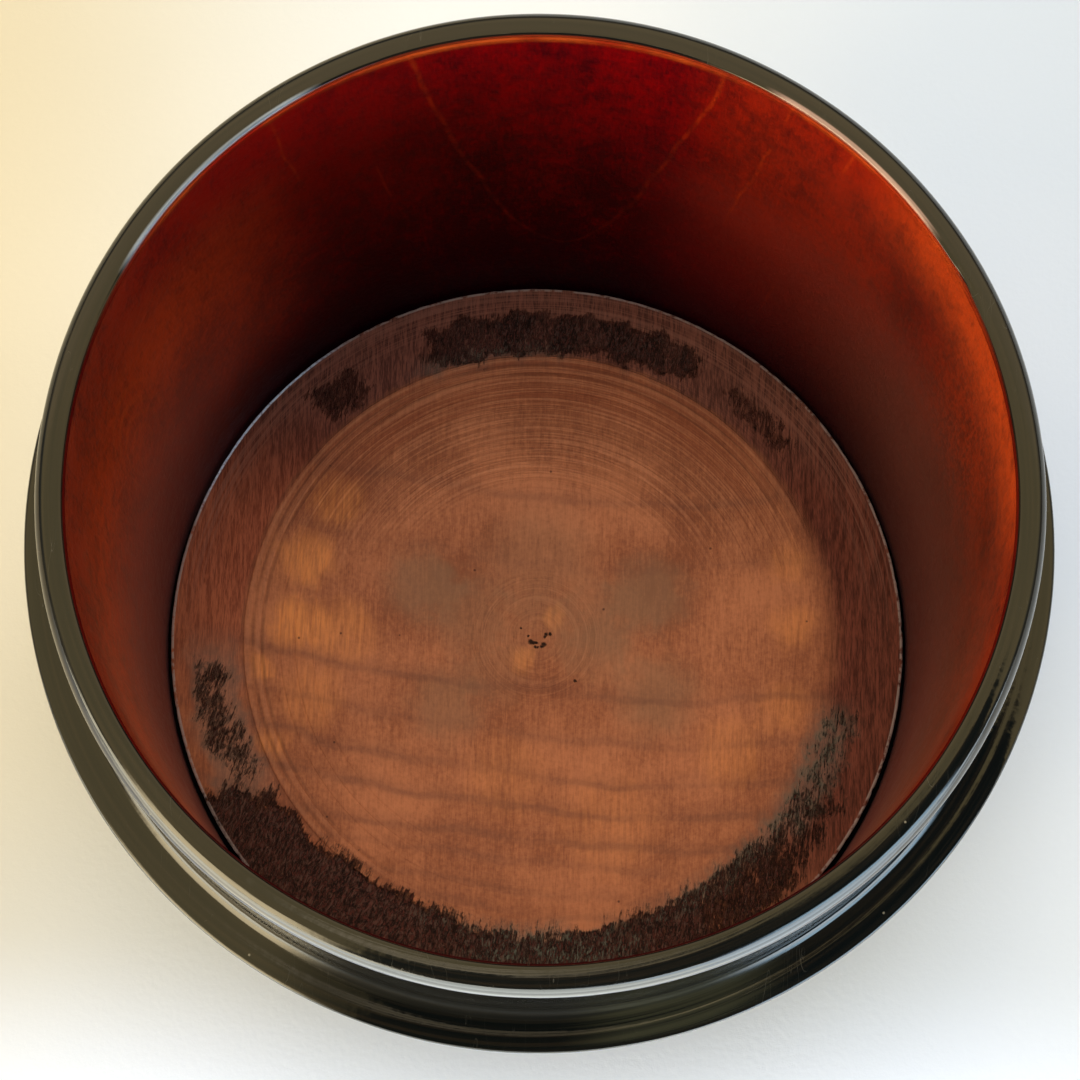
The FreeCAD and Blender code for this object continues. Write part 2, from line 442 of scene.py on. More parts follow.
def veneer_light(s, base, bearing, tone):
    """Painted light and shade on the wall: lit sides, a painted sheen low down, a paler upper wall towards
    the front, a lit band near the rim, and painted shade under the rim on the right.
    """
    light_patchiness = s.span(tone, 0.36, 0.64, 0.36, 1.0)
    # Painted light on the left wall and the back-right wall, where the low windows fall, patchy with the tone
    left_side_painted_light = s.mul(s.span(s.x, -20.0, -34.0), s.line(s.z, 42.0, 8.0, 24.0))
    left_side_painted_light = s.mul(left_side_painted_light, s.span(s.y, 4.0, 22.0, 0.70, 1.0))
    base = s.mix(s.mul(left_side_painted_light, light_patchiness), base, (0.660, 0.098, 0.030))
    right_side_painted_light = s.mul(s.line(bearing, 52.0, 8.0, 16.0), s.span(s.z, 22.0, 60.0))
    base = s.mix(s.mul(right_side_painted_light, s.mul(light_patchiness, 0.42)), base, (0.420, 0.036, 0.008))
    # Painted sheen: a greyish veil low on the walls, towards the sides and front
    low_painted_sheen = s.mul(s.span(s.z, 62.0, 26.0), s.span(s.y, 36.0, 14.0))
    base = s.mix(s.mul(low_painted_sheen, 0.74), base, (0.350, 0.142, 0.128))
    # Painted sheen: paler and greyer on the upper wall towards the front
    upper = s.mul(s.span(s.z, 76.0, 60.0), s.span(s.z, 20.0, 45.0, 0.3, 1.0))
    bloom = s.mul(s.span(s.y, 5.0, -25.0), upper)
    base = s.mix(s.mul(bloom, 0.35), base, (0.340, 0.160, 0.130))
    # Painted light: a lit band high on the right wall, near the rim
    rim_strip = s.mul(s.span(s.z, 62.0, 73.0), s.line(bearing, 18.0, 14.0, 16.0))
    base = s.mix(s.mul(rim_strip, s.mul(light_patchiness, 0.60)), base, (0.560, 0.075, 0.014))
    # Painted shade just under the rim on the right wall, towards the front
    right_under_rim_shade = s.mul(s.span(s.x, 12.0, 36.0), s.span(s.y, -15.0, 5.0, 0.3, 1.0))
    return s.mix(s.mul(right_under_rim_shade, s.span(s.z, 76.0, 66.0, 0.0, 0.36)), base, (0.070, 0.022, 0.016))


def veneer_material():
    """Red-brown stained veneer under satin lacquer: growth-ring loops, pores, blotchy stain."""
    s = Shader("stained_veneer")
    bearing = s.mul(s.math("ARCTAN2", s.y, s.x), DEGREES)
    wander = s.noise(s.stretch(0.10, 0.10, 0.06), 1.0, 3.0, 0.55)
    wobble = s.sub(wander, 0.5)
    mottle = s.noise(s.stretch(0.75, 0.75, 0.45), 1.0, 3.0, 0.55)
    loops = growth_loops(s, bearing, wobble)
    left_flame, right_upper_painted_light = flame_and_painted_light(s, wobble)

    blotch = s.noise(s.stretch(0.16, 0.16, 0.07), 1.0, 4.0, 0.6, 0.3)
    grain = s.noise(s.stretch(4.0, 4.0, 0.6), 1.0, 3.0, 0.6)
    pore_far = s.cells(s.stretch(3.2, 3.2, 0.7), 1.0)[0]
    pore = s.span(pore_far, 0.04, 0.14, 1.0, 0.0)

    # Stain: red-brown at the sides, blood red at the back
    at_back = s.span(s.y, 4.0, 34.0)
    near_top = s.span(s.z, 12.0, 76.0)
    fleck = s.noise(s.stretch(2.2, 2.2, 1.3), 1.0, 2.0, 0.5)
    tone = s.weigh((blotch, 0.32), (mottle, 0.28), (grain, 0.24), (fleck, 0.16))
    # Painted light: the tone is a little lighter towards the top of the wall
    tone = s.add(tone, s.mul(s.sub(near_top, 0.6), 0.10))
    side = s.mix(s.span(tone, 0.36, 0.63), (0.072, 0.0090, 0.0060), (0.245, 0.0260, 0.0090))
    back = s.mix(s.span(tone, 0.40, 0.68), (0.056, 0.0001, 0.0045), (0.240, 0.0006, 0.0030))
    back_left = s.mul(s.span(s.x, -4.0, -26.0), s.span(s.z, 30.0, 55.0))
    back = s.mix(s.mul(back_left, s.span(tone, 0.36, 0.64, 0.35, 0.85)), back, (0.300, 0.0040, 0.0030))
    back_right = s.mul(s.span(s.x, 6.0, 20.0), s.span(s.z, 60.0, 45.0))
    back = s.mix(s.mul(back_right, 0.8), back, (0.270, 0.0220, 0.0200))
    base = s.mix(at_back, side, back)
    base = s.mix(s.mul(left_flame, 0.45), base, (0.42, 0.080, 0.012))
    # Painted light on the upper right of the wall, patchy along the flecks and grain
    right_upper_painted_light = s.mul(right_upper_painted_light, s.span(s.add(fleck, grain), 0.85, 1.15, 0.05, 0.45))
    base = s.mix(right_upper_painted_light, base, VENEER_LINE)
    base = veneer_light(s, base, bearing, tone)
    base = s.mix(s.mul(loops, s.span(mottle, 0.35, 0.65, 0.12, 0.42)), base, VENEER_LINE)
    base = s.mix(s.mul(pore, 0.12), base, (0.03, 0.002, 0.002))

    # Painted shade at the foot of the wall, a painted highlight along the top edge at the back, and painted
    # shade under the lip at the sides
    deep = s.span(s.z, 10.0, 34.0, 1.0, 0.0)
    base = s.mix(s.mul(deep, s.span(s.y, 0.0, 30.0, 0.15, 0.75)), base, (0.018, 0.003, 0.010))
    top_edge_painted_light = s.mul(s.span(s.z, LINER_MM - 1.0, LINER_MM - 0.35), at_back)
    top_edge_painted_light = s.mul(top_edge_painted_light, s.span(s.add(wander, s.mul(wobble, 2.0)), 0.2, 0.8, 0.10, 0.80))
    base = s.mix(top_edge_painted_light, base, (0.52, 0.085, 0.014))
    # Painted shade in the groove under the lip, mostly at the sides
    edge = s.span(s.z, LINER_MM - 0.42, LINER_MM - 0.26)
    base = s.mix(s.mul(edge, s.span(at_back, 0.0, 1.0, 0.92, 0.10)), base, (0.045, 0.0006, 0.001))

    # Painted shade under the rim towards the front
    front_rim_shade = s.mul(s.span(s.z, 68.0, 73.5), s.span(s.y, -22.0, -32.0))
    base = s.mix(s.mul(front_rim_shade, 0.75), base, (0.016, 0.003, 0.004))

    # Skin of the lacquer: pebbled, with the pores sunk in
    pebble = s.noise(s.stretch(1.5, 1.5, 1.1), 1.0, 3.0, 0.55)
    skin = s.bump(s.add(s.mul(grain, 0.4), pebble), 0.09)
    skin = s.bump(s.mul(pore, -1.0), 0.012, under=skin)
    rough = s.add(s.span(mottle, 0.3, 0.7, 0.36, 0.46), s.mul(edge, 0.4))
    s.set(Base_Color=base, Roughness=rough, Normal=skin, Specular_IOR_Level=0.02)
    return s.material


# Dark growth lines across the floor: distance from the axis in millimetres, strength
GROWTH_LINES = (
    (15.3, 0.40), (7.6, 0.20), (-6.6, 0.62), (-11.3, 0.38), (-15.3, 0.55), (-18.8, 0.60),
    (-22.4, 0.58), (-24.7, 0.40), (-27.5, 0.50), (-29.6, 0.45),
)
# Pits round the middle of the floor: x, y, radius in millimetres
PITS = (
    (-0.65, -0.49, 0.24), (-0.35, -0.56, 0.16), (-0.10, -0.55, 0.14), (-0.15, -1.02, 0.13),
    (0.10, -1.08, 0.10), (0.72, -0.72, 0.22), (0.55, -0.95, 0.15), (0.85, 0.10, 0.13),
    (0.98, 0.36, 0.16), (1.38, 0.40, 0.13), (-0.95, 0.12, 0.12), (-1.75, 0.95, 0.10),
    (4.20, -4.60, 0.12),
)


def growth_lines(s, wave):
    """Dark growth lines, gently bent and partly worn off."""
    warp = s.noise(s.stretch(0.05, 0.08, 0.1), 1.0, 2.0, 0.5)
    off_middle = s.sub(s.x, 12.0)
    bend = s.mul(s.mul(off_middle, off_middle), -0.003)
    across = s.add(s.add(s.y, bend), s.add(s.mul(s.sub(warp, 0.5), 3.6), s.mul(s.sub(wave, 0.5), 1.2)))
    worn_off = s.span(s.noise(s.stretch(0.10, 0.30, 0.3), 1.0, 3.0, 0.6), 0.32, 0.62, 0.45, 1.0)
    growth = 0.0
    for place, strength in GROWTH_LINES:
        core = s.line(across, place, 0.12, 0.50)
        halo = s.line(across, place + 0.35, 0.0, 1.6)
        growth = s.add(growth, s.mul(s.add(s.mul(core, 0.48), s.mul(halo, 0.42)), strength))
    return s.mul(growth, worn_off)


def worn_step(s, base, radius, wave):
    """The step between field and outer ring, and the groove inside it: pale crest, dark foot."""
    kept = s.add(s.span(s.x, -8.0, -24.0), s.mul(s.span(s.y, 6.0, 20.0), 0.8))
    kept = s.mul(s.math("MINIMUM", kept, 1.0), s.span(wave, 0.30, 0.55, 0.35, 1.0))
    for crest in (31.1, 29.95):
        base = s.mix(s.mul(s.line(radius, crest, 0.06, 0.26), s.mul(kept, 0.14)), base, (0.62, 0.270, 0.130))
    for foot in (31.65, 30.45, 29.40):
        dark = s.mul(s.line(radius, foot, 0.03, 0.24), s.mul(kept, 0.34))
        base = s.mix(dark, base, (0.060, 0.022, 0.013))
    return base


def outer_ring(s, radius, fibre, hair, turning):
    """Colour of the ring outside the step: dark from its stain and from painted shade near the wall, browner
    at the back and lighter at the left.
    """
    ring_fibre = s.span(s.add(s.mul(fibre, 0.5), s.mul(hair, 0.5)), 0.38, 0.62)
    ring_tone = s.mix(ring_fibre, (0.062, 0.014, 0.008), (0.185, 0.047, 0.025))
    back_tone = s.mix(ring_fibre, (0.075, 0.024, 0.015), (0.225, 0.076, 0.044))
    ring_tone = s.mix(s.span(s.y, 14.0, 28.0), ring_tone, back_tone)
    left_tone = s.mix(ring_fibre, (0.200, 0.046, 0.020), (0.400, 0.108, 0.046))
    ring_tone = s.mix(s.mul(s.span(s.x, -12.0, -30.0), s.span(s.y, 26.0, 10.0)), ring_tone, left_tone)
    hoop = s.mul(s.span(turning, 0.44, 0.60), s.mul(s.span(radius, 34.5, 37.5), s.span(s.y, -4.0, 16.0)))
    return s.mix(s.mul(hoop, 0.42), ring_tone, (0.340, 0.140, 0.085))


def torn_grain(s, base, torn, dusty):
    """Short tears along the fibres, blackened, with a ragged fringe; returns colour, tear and crack."""
    lean = s.join(s.add(s.x, s.mul(s.y, s.span(s.x, -8.0, -26.0, -0.12, -0.30))), s.y, 0.0)
    fringe = s.noise(s.vector("MULTIPLY", lean, (3.0, 0.32, 1.0)), 1.0, 4.0, 0.8, 0.4)
    tuft = s.noise(s.vector("MULTIPLY", lean, (0.8, 0.55, 1.0)), 1.0, 4.0, 0.7, 0.4)
    stroke = s.noise(s.vector("MULTIPLY", lean, (3.2, 0.90, 1.0)), 1.0, 4.0, 0.75, 0.8)
    sliver = s.noise(s.vector("MULTIPLY", lean, (6.0, 1.80, 1.0)), 1.0, 3.0, 0.7, 0.6)
    ragged_edge = s.add(s.mul(s.sub(fringe, 0.5), 1.7), s.mul(s.sub(sliver, 0.5), 1.0))
    amount = s.add(s.mul(torn, 1.10), s.add(ragged_edge, s.mul(s.sub(tuft, 0.5), 1.2)))
    tear = s.mul(s.span(amount, 0.30, 0.74), s.span(torn, 0.0, 0.10))
    crack = s.mul(tear, s.span(s.add(s.mul(stroke, 0.5), s.mul(sliver, 0.5)), 0.45, 0.54))
    behind = s.span(s.y, 6.0, 24.0)
    patchy = s.span(s.noise(s.stretch(0.50, 0.18, 1.0), 1.0, 2.0), 0.35, 0.60, 0.60, 1.0)
    faint = s.mul(s.span(torn, 0.10, 0.85, 0.08, 0.95), patchy)
    depth = s.add(s.mul(s.sub(1.0, behind), 0.90), s.mul(behind, faint))
    base = s.mix(s.mul(tear, depth), base, (0.070, 0.038, 0.028))
    base = s.mix(s.mul(crack, depth), base, (0.008, 0.005, 0.004))
    raw = s.mul(tear, s.span(s.sub(sliver, s.mul(stroke, 0.5)), 0.24, 0.34))
    base = s.mix(s.mul(raw, 0.55), base, (0.150, 0.043, 0.028))
    rim_of_tear = s.mul(s.line(amount, 0.42, 0.10, 0.16), s.span(torn, 0.0, 0.10))
    base = s.mix(s.mul(rim_of_tear, s.mul(depth, 0.60)), base, (0.012, 0.008, 0.006))
    settled = s.mul(dusty, s.sub(1.0, crack))
    dust_tone = s.mix(s.span(s.x, -24.0, -12.0), (0.150, 0.090, 0.056), (0.115, 0.120, 0.080))
    base = s.mix(s.mul(settled, s.span(tuft, 0.46, 0.58, 0.1, 0.9)), base, dust_tone)
    crumb = s.noise(s.stretch(2.8, 1.1, 1.0), 1.0, 2.0, 0.5)
    loose = s.mul(s.span(torn, 0.0, 0.35), s.span(crumb, 0.60, 0.68))
    base = s.mix(s.mul(loose, 0.75), base, (0.020, 0.010, 0.007))
    return base, tear, crack


def pit_mask(s, speckle):
    """Small ragged pits round the middle."""
    pits = 0.0
    for px, py, size in PITS:
        away = s.vector("LENGTH", s.join(s.sub(s.x, px), s.sub(s.y, py), 0.0), (0, 0, 0))
        ragged = s.add(away, s.mul(s.sub(speckle, 0.5), 0.35))
        pits = s.math("MAXIMUM", pits, s.span(ragged, size * 0.7, size * 1.8, 1.0, 0.0))
    return pits


def floor_material():
    """Worn turned board: growth lines, turning rings, fibres, torn grain and grime."""
    s = Shader("floor_wood")
    radius = s.vector("LENGTH", s.join(s.x, s.y, 0.0), (0, 0, 0))
    wave = s.noise(s.stretch(0.22, 0.35, 0.3), 1.0, 2.0, 0.5)
    dusty = s.attribute("dusty")

    fibre = s.noise(s.stretch(3.2, 0.28, 1.0), 1.0, 3.0, 0.6)
    hair = s.noise(s.stretch(9.0, 0.9, 1.0), 1.0, 2.0, 0.6)
    speckle = s.noise(s.mm, 2.2, 3.0, 0.7)
    blotch = s.noise(s.mm, 0.09, 3.0, 0.5)
    turning = s.noise(s.join(s.mul(radius, 4.2), s.mul(s.y, 0.05), s.mul(s.x, 0.05)), 1.0, 3.0, 0.7)
    cut_zone = s.mul(s.line(radius, 24.5, 4.5, 6.0), s.span(s.y, 4.0, 20.0, 0.22, 1.0))
    cut_zone = s.add(cut_zone, s.mul(s.line(radius, 4.2, 1.8, 2.8), 0.50))
    cuts = s.mul(s.sub(s.span(turning, 0.40, 0.60), 0.5), cut_zone)

    tone = s.weigh((blotch, 0.40), (fibre, 0.20), (speckle, 0.24), (hair, 0.16))
    base = s.mix(s.span(tone, 0.35, 0.65), (0.230, 0.068, 0.028), (0.530, 0.184, 0.073))
    base = s.mix(s.mul(s.attribute("amber"), s.span(fibre, 0.3, 0.7, 0.35, 0.95)), base, (0.78, 0.270, 0.070))
    # Painted sheen: the bow-tie of lobes round the centre where the turned fibres catch the light
    base = s.mix(s.mul(s.attribute("cloud"), 0.62), base, (0.262, 0.136, 0.066))
    upper_band = s.mul(s.line(radius, 28.8, 1.2, 3.2), s.span(s.y, 8.0, 22.0))
    base = s.mix(s.mul(upper_band, s.span(turning, 0.38, 0.62, 0.50, 0.20)), base, (0.300, 0.070, 0.026))
    base = s.mix(s.mul(growth_lines(s, wave), 0.84), base, (0.130, 0.052, 0.032))
    # Pale and dark rings along the tool cuts; near the middle the pale rings are painted highlights
    base = s.mix(s.span(cuts, 0.0, 0.5, 0.0, 0.18), base, (0.70, 0.290, 0.130))
    base = s.mix(s.span(cuts, 0.0, -0.5, 0.0, 0.27), base, (0.150, 0.040, 0.018))
    # The outer ring: dark stain with painted shade near the wall
    base = s.mix(s.attribute("ring_dark"), base, outer_ring(s, radius, fibre, hair, turning))
    base = s.mix(s.mul(dusty, 0.65), base, (0.240, 0.165, 0.112))

    base = worn_step(s, base, radius, wave)
    base, tear, crack = torn_grain(s, base, s.attribute("torn"), dusty)

    # Scattered dark dots, pits, the chipped arris, and a painted highlight on the arris at the back left
    dot_far, dot_kind = s.cells(s.mm, 0.26)
    kind = s.node("ShaderNodeSeparateColor")
    s.feed(kind.inputs[0], dot_kind)
    dot = s.mul(s.span(dot_far, 0.025, 0.045, 1.0, 0.0), s.math("GREATER_THAN", kind.outputs[1], 0.55))
    base = s.mix(s.mul(dot, 0.7), base, (0.03, 0.008, 0.006))
    pits = pit_mask(s, speckle)
    base = s.mix(s.mul(pits, 0.95), base, (0.006, 0.003, 0.003))

    chipped = s.span(s.noise(s.mm, 1.1, 3.0, 0.6), 0.36, 0.52)
    arris = s.mul(s.span(radius, DISC_MM - 0.42, DISC_MM - 0.30), chipped)
    base = s.mix(s.mul(arris, 0.80), base, (0.400, 0.290, 0.230))
    bearing = s.mul(s.math("ARCTAN2", s.y, s.x), DEGREES)
    # Painted highlight: blue-white reflection of the window on the arris
    arris_highlight = s.mul(s.line(bearing, 143.0, 9.0, 12.0), s.span(radius, DISC_MM - 0.40, DISC_MM - 0.26))
    base = s.mix(s.mul(arris_highlight, s.span(speckle, 0.35, 0.55, 0.4, 1.0)), base, (0.85, 0.92, 0.98))

    # Relief: cuts of the tool, fibres, and the sunk tears and pits
    skin = s.bump(cuts, 0.05)
    skin = s.bump(s.add(s.mul(fibre, 0.6), s.mul(hair, 0.5)), 0.02, under=skin)
    skin = s.bump(s.mul(s.add(tear, s.add(crack, pits)), -1.0), 0.10, under=skin)
    rough = s.span(tear, 0.0, 1.0, 0.55, 0.90)
    s.set(Base_Color=base, Roughness=rough, Normal=skin, Specular_IOR_Level=0.22)
    return s.material


def felt_material():
    """Short-pile dark green felt."""
    s = Shader("base_felt")
    fibre = s.noise(s.mm, 3.5, 4.0, 0.7, 1.5)
    matted = s.noise(s.mm, 0.25, 3.0, 0.6)
    tone = s.add(s.mul(fibre, 0.6), s.mul(matted, 0.4))
    base = s.mix(s.span(tone, 0.35, 0.65), (0.012, 0.035, 0.022), (0.05, 0.10, 0.065))
    skin = s.bump(fibre, 0.25)
    s.set(Base_Color=base, Roughness=0.95, Normal=skin, Sheen_Weight=0.4, Specular_IOR_Level=0.15)
    return s.material


def paper_material():
    """Pale table top, with painted warm light on one side, plain in the middle and painted cool light on the
    other, and painted cool light and a painted glow in front of the mug.
    """
    s = Shader("pale_floor")
    tooth = s.noise(s.mm, 1.2, 4.0, 0.6)
    tone = s.noise(s.mm, 0.02, 2.0, 0.5)
    warm = s.mix(s.span(tone, 0.3, 0.7), (0.61, 0.57, 0.45), (0.65, 0.61, 0.49))
    plain = s.mix(s.span(tone, 0.3, 0.7), (0.66, 0.73, 0.83), (0.70, 0.76, 0.86))
    cool = s.mix(s.span(tone, 0.3, 0.7), (0.62, 0.72, 0.88), (0.66, 0.75, 0.90))
    front = s.span(s.y, -30.0, -62.0)
    # Painted warm light on the left and cool light on the right, as the lamps tint the table
    base = s.mix(s.span(s.x, -72.0, -8.0), warm, plain)
    base = s.mix(s.span(s.y, -10.0, -50.0, 0.0, 0.5), base, plain)
    base = s.mix(s.span(s.x, -10.0, 48.0), base, cool)
    # Painted cool light in front of the mug, where it shades the table
    base = s.mix(s.mul(front, 0.9), base, (0.76, 0.84, 0.96))
    radius = s.vector("LENGTH", s.join(s.x, s.y, 0.0), (0, 0, 0))
    # Painted glow that lifts the mug's shade on the table in front of it
    painted_fill_light = s.mix(s.mul(front, s.span(radius, 100.0, 60.0)), BLACK, (0.26, 0.32, 0.46))
    s.set(Base_Color=base, Roughness=0.75, Normal=s.bump(tooth, 0.04))
    s.set(Emission_Color=painted_fill_light, Emission_Strength=1.0)
    return s.material


# ---------------------------------------------------------------- pieces

def cup_profile():
    """Outline of the cup from the felt recess round the outside, over the rim and down the bore."""
    foot_centre = (FOOT_R, FOOT_LIFT + FOOT_ROUND)
    roll_x = SHOULDER_R - CORNER_R - (ROLL_R - CORNER_R) * math.cos(math.radians(ROLL_END))
    roll_centre = (roll_x, SHOULDER_TOP - ROLL_R)
    corner = arc(roll_centre, ROLL_R - CORNER_R, ROLL_END, ROLL_END, 1)[0]
    cove_centre = (NECK_R + COVE_R, SHOULDER_TOP + COVE_R)
    rim_centre = (NECK_R - RIM_ROUND, RIM_TOP - RIM_ROUND)
    lip_centre = (LIP_R + LIP_ROUND, RIM_TOP - LIP_ROUND)

    points = [(0, PAD_TOP), (PAD_R, PAD_TOP), (PAD_R, FOOT_LIFT), (FOOT_R, FOOT_LIFT)]
    points += arc(foot_centre, FOOT_ROUND, -90, FOOT_END, 10)
    points += through(points[-1], BODY_MID, (corner[0] + CORNER_R, corner[1]), 30)
    points += arc(corner, CORNER_R, 0, ROLL_END, 5)
    points += arc(roll_centre, ROLL_R, ROLL_END, 90, 6)
    points += run(points[-1], (cove_centre[0], SHOULDER_TOP), 3)
    points += arc(cove_centre, COVE_R, 270, 180, 10)
    points += run(points[-1], (NECK_R, rim_centre[1]), 14)
    points += arc(rim_centre, RIM_ROUND, 0, 90, 14)
    points += run(points[-1], (lip_centre[0], RIM_TOP), 6)
    points += arc(lip_centre, LIP_ROUND, 90, 180, 6)
    points += [(LIP_R, LINER_TOP), (LINER_OUTER_R, LINER_TOP), (LINER_OUTER_R, BORE_BOTTOM), (0, BORE_BOTTOM)]
    return points


def make_cup():
    """The lacquered cup, its film slightly uneven, with a small bruise on the inner edge of the rim."""
    bruise_angle = math.radians(BRUISE_BEARING)

    def shape(r, z, angle):
        exposed = r > LIP_R - 1e-6 and z > FOOT_LIFT + 0.2 * MM
        inside = abs(r - LINER_OUTER_R) < 1e-6
        if exposed and not inside:
            around = Vector((math.cos(angle) * 3.1, math.sin(angle) * 3.1, z / MM * 0.16))
            r -= 0.030 * MM * (1 + noise.noise(around))
            fine = Vector((math.cos(angle) * 13, math.sin(angle) * 13, z / MM * 0.5 + 7))
            r -= 0.006 * MM * (1 + noise.noise(fine))
        drop = RIM_TOP - z
        if r > NECK_R - RIM_ROUND - 0.1 * MM and 0 < drop < WEAR_REACH:
            fade = drop / RIM_ROUND if drop < RIM_ROUND else (WEAR_REACH - drop) / (WEAR_REACH - RIM_ROUND)
            z -= WEAR_DROP * fade * smooth(-math.sin(angle), -0.1, 0.6)
        if z > RIM_TOP - 1e-6:
            z -= CROWN_DROP * ((r - CROWN_R) / CROWN_HALF) ** 2
        if z > RIM_TOP - 0.4 * MM and r < LIP_R + 0.5 * MM and not inside:
            along = (angle - bruise_angle) * r
            dent = math.exp(-((along / BRUISE_HALF) ** 2))
            r += 0.16 * MM * dent
            z -= 0.08 * MM * dent
        return round_place(r, z, angle)

    cup = turned("cup_body", cup_profile(), shape)
    cup.data.materials.append(lacquer_material())
    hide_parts("outer_cup")
    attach(cup, BODY)
    return cup


def make_liner():
    """Veneer strip round the bore, its ends meeting in a hairline joint at the front."""
    ease = (LINER_OUTER_R - BORE_R) / 2
    ease_centre = (BORE_R + ease, LINER_TOP - ease)
    points = [(BORE_R, BORE_BOTTOM), (LINER_OUTER_R, BORE_BOTTOM), (LINER_OUTER_R, LINER_TOP)]
    points += run(points[-1], (ease_centre[0], LINER_TOP), 2)
    points += arc(ease_centre, ease, 90, 180, 6)
    points += run(points[-1], (BORE_R, BORE_BOTTOM), 60)[:-1]

    def shape(r, z, angle):
        if r < BORE_R + 1e-6:
            place = Vector((math.cos(angle) * 2.4, math.sin(angle) * 2.4, z / MM * 0.05))
            r += 0.035 * MM * (1 + noise.noise(place))
        return round_place(r, z, angle)

    joint = math.degrees(JOINT_HALF / BORE_R)
    liner = turned("bore_lining", points, shape, start=-90 + joint, sweep=360 - 2 * joint)
    liner.data.materials.append(veneer_material())
    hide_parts("wall_liner")
    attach(liner, BODY)
    return liner


# Torn grain on the floor: bearing of its middle and half its span in degrees, inner and outer
# radius in millimetres, and how deep the tearing goes
TORN_PATCHES = (
    (-146, 6, 35.0, 39.6, 0.95),
    (-137, 10, 32.4, 39.6, 1.05),
    (-118, 15, 31.3, 39.6, 1.00),
    (-103, 12, 31.9, 39.6, 0.95),
    (-88, 12, 32.0, 39.6, 0.80),
    (-70, 14, 31.6, 38.6, 0.76),
    (-52, 12, 31.7, 38.0, 0.55),
    (-36, 9, 32.0, 37.0, 0.36),
    (-20, 9, 32.0, 35.6, 0.24),
    (-166, 8, 33.6, 37.0, 0.40),
    (-157, 5, 32.6, 36.0, 0.32),
    (75, 13, 32.6, 36.4, 0.85),
    (96, 15, 32.0, 36.3, 0.92),
    (130, 5, 32.4, 36.8, 0.50),
    (46, 8, 33.2, 35.6, 0.45),
)
# Grey bloom on the inner fringe of the torn parts, laid out the same way
DUSTY_PATCHES = (
    (-85, 15, 31.6, 35.6, 0.9),
    (-104, 8, 31.4, 32.8, 0.5),
    (-48, 20, 31.2, 33.4, 0.55),
    (-25, 12, 31.0, 35.0, 0.5),
    (-163, 14, 32.0, 37.6, 0.55),
    (100, 14, 31.6, 33.0, 0.4),
)
# Painted sheen of the turned fibres, in lobes round the centre: x, y and radius in millimetres, and strength
SHEEN_LOBES = (
    (-12.5, 5.5, 4.6, 0.9), (-7.5, 2.5, 5.0, 0.6), (12.0, 5.0, 4.8, 0.9), (7.0, 2.0, 5.0, 0.5),
    (-9.5, -7.5, 4.6, 0.7), (-4.5, -4.0, 4.0, 0.4), (13.0, -6.0, 5.0, 0.8), (6.0, -1.5, 4.5, 0.5),
    (0.0, 8.5, 7.0, 0.5), (0.0, 1.0, 5.0, 0.3),
)
# Amber, less worn wood, laid out the same way
AMBER_LOBES = (
    (-26.0, 1.0, 3.2, 1.0), (-25.0, 8.0, 3.4, 0.9), (-22.0, 14.5, 3.2, 0.7), (-21.0, 0.0, 4.0, 0.6),
    (-24.0, -7.0, 4.0, 0.45), (27.5, 2.0, 2.6, 0.5), (26.5, -7.0, 3.0, 0.4), (27.0, 9.0, 2.4, 0.4),
    (-1.6, -2.6, 1.6, 0.7), (1.6, 2.2, 1.5, 0.7), (-29.5, -4.0, 1.6, 0.8), (-28.0, -12.0, 2.0, 0.6),
    (21.0, -12.0, 4.0, 0.4), (-3.0, -15.0, 5.0, 0.25), (8.0, -20.0, 6.0, 0.25),
)


def patch_strength(patches, bearing, radius):
    """Strongest of the patches at a place given in degrees and millimetres."""
    best = 0.0
    for middle, half, inner, outer, strength in patches:
        off = abs((bearing - middle + 180) % 360 - 180)
        here = strength * smooth(off, half * 1.35, half * 0.65)
        here *= smooth(radius, inner - 0.9, inner + 0.9) * smooth(radius, outer + 0.9, outer - 0.9)
        best = max(best, here)
    return best


def lobe_strength(lobes, x, y, ragged):
    """Sum of round soft lobes at a place in millimetres, at most 1."""
    total = 0.0
    for cx, cy, size, strength in lobes:
        off = math.hypot(x - cx, y - cy) + ragged
        total += strength * smooth(off, size * 1.25, size * 0.35)
    return min(total, 1.0)


def floor_masks(x, y):
    """Torn grain, dark outer ring (dark stain with painted shade near the wall), painted sheen round the
    centre, bloom and amber wood at a place in millimetres.
    """
    radius = math.hypot(x, y)
    bearing = math.degrees(math.atan2(y, x))
    ragged = 0.9 * noise.noise(Vector((x * 0.5, y * 0.5, 3.0)))
    ragged += 0.5 * noise.noise(Vector((x * 1.6, y * 1.6, 9.0)))
    torn = patch_strength(TORN_PATCHES, bearing + ragged * 2, radius + ragged)
    dusty = patch_strength(DUSTY_PATCHES, bearing, radius + ragged)
    front_left = smooth(abs((bearing + 122 + 180) % 360 - 180), 75, 30)
    front = smooth(abs((bearing + 90 + 180) % 360 - 180), 60, 25)
    soft = 1.3 * smooth(x, 8, 26) * smooth(y, 24, 8)
    # Darker outer ring, from its stain and from painted shade near the wall, weaker towards the front
    ring_dark = smooth(radius + 0.4 * ragged, 31.0 - soft, 32.0 + soft) * (1 - 0.75 * max(front_left, front))
    cloud = lobe_strength(SHEEN_LOBES, x, y, 1.2 * ragged)
    amber = lobe_strength(AMBER_LOBES, x, y, ragged)
    return torn, min(ring_dark, 1.0), cloud, dusty, amber


def disc_radii():
    """Radii of the rings of points across the top of the disc, closer together at every groove."""
    radii = {k * 0.30 * MM for k in range(1, 100)}
    radii |= {STEP_R + k * 0.05 * MM for k in range(-3, 7)}
    radii |= {STEP_R + (0.45 + k * 0.22) * MM for k in range(0, 33)}
    for groove in GROOVES:
        radii |= {groove + k * GROOVE_HALF / 2 for k in range(-3, 4)}
    ordered = []
    for r in sorted(radii):
        if r < DISC_R - ARRIS and (not ordered or r - ordered[-1] > 0.03 * MM):
            ordered.append(r)
    return ordered


